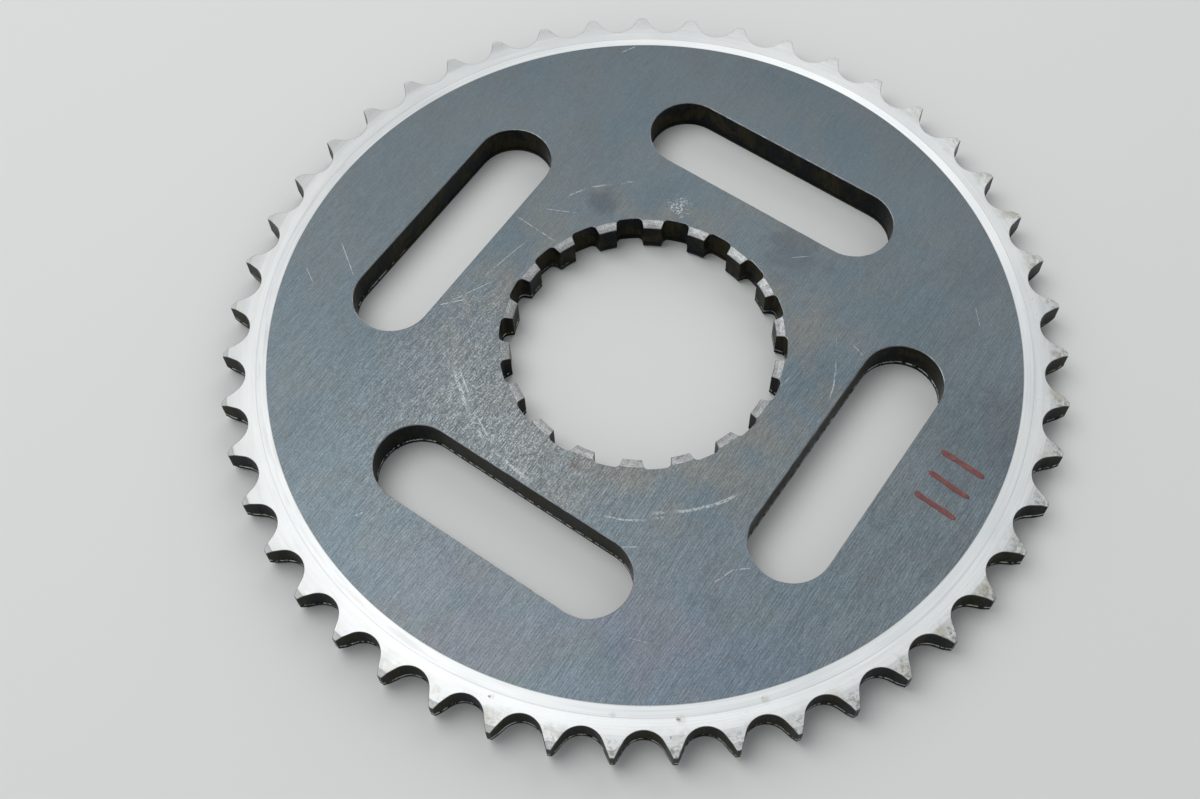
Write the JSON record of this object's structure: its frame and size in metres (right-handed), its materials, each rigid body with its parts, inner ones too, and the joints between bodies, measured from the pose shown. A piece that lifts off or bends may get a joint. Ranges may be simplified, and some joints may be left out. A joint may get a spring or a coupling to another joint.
{
  "type": "rear sprocket",
  "caption": "Flat steel rear chain sprocket for a motorcycle, with a splined centre bore, straight lightening slots and a turned, toothed rim.",
  "frame": {"origin": "centre of the inner face, on the bore's axis; the sprocket lies on this face", "axes": "+Z along the bore's axis out of the marked outer face; X and Y through the middles of the slots"},
  "size_m": [0.193, 0.1928, 0.0086],
  "materials": {
    "ground_steel": "ground plate, bright turned rim, oiled dark cut edges",
    "marker_paint": "thin matt red-brown marker paint"
  },
  "bodies": {
    "root": {"sprocket_plate": "ground_steel", "paint_mark": "marker_paint"}
  },
  "joints": []
}
